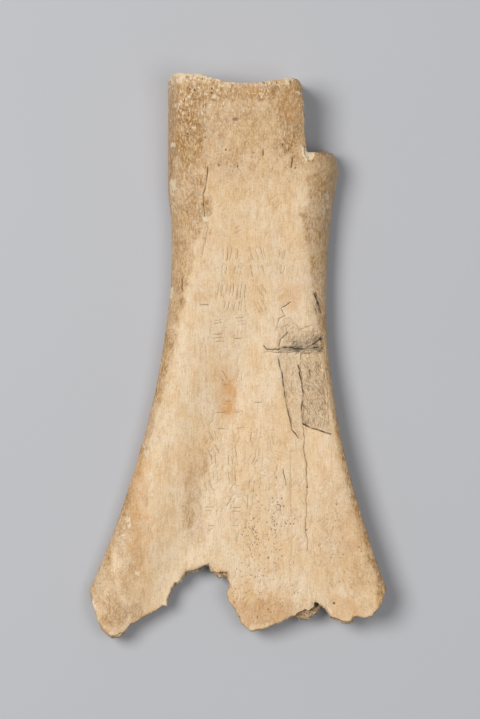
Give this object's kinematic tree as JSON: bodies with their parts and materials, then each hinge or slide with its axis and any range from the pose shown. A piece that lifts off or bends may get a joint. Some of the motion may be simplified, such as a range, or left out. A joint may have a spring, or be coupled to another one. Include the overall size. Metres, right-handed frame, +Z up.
{
  "type": "ox scapula oracle bone",
  "caption": "Broken ox shoulder blade prepared for divination: sawn socket end, cut corner, flared blade with a broken edge, hollows on its back.",
  "frame": {"origin": "on the ground, at the middle of the bone's length and width", "axes": "+Z up out of the smooth rib side, +Y along the bone towards the sawn socket end, +X towards the thin border with the cut corner"},
  "size_m": [0.1427, 0.27, 0.0333],
  "materials": {
    "bone": "dry, partly polished bone, worn and stained"
  },
  "bodies": {
    "root": {"ox_scapula": "bone"}
  },
  "joints": []
}
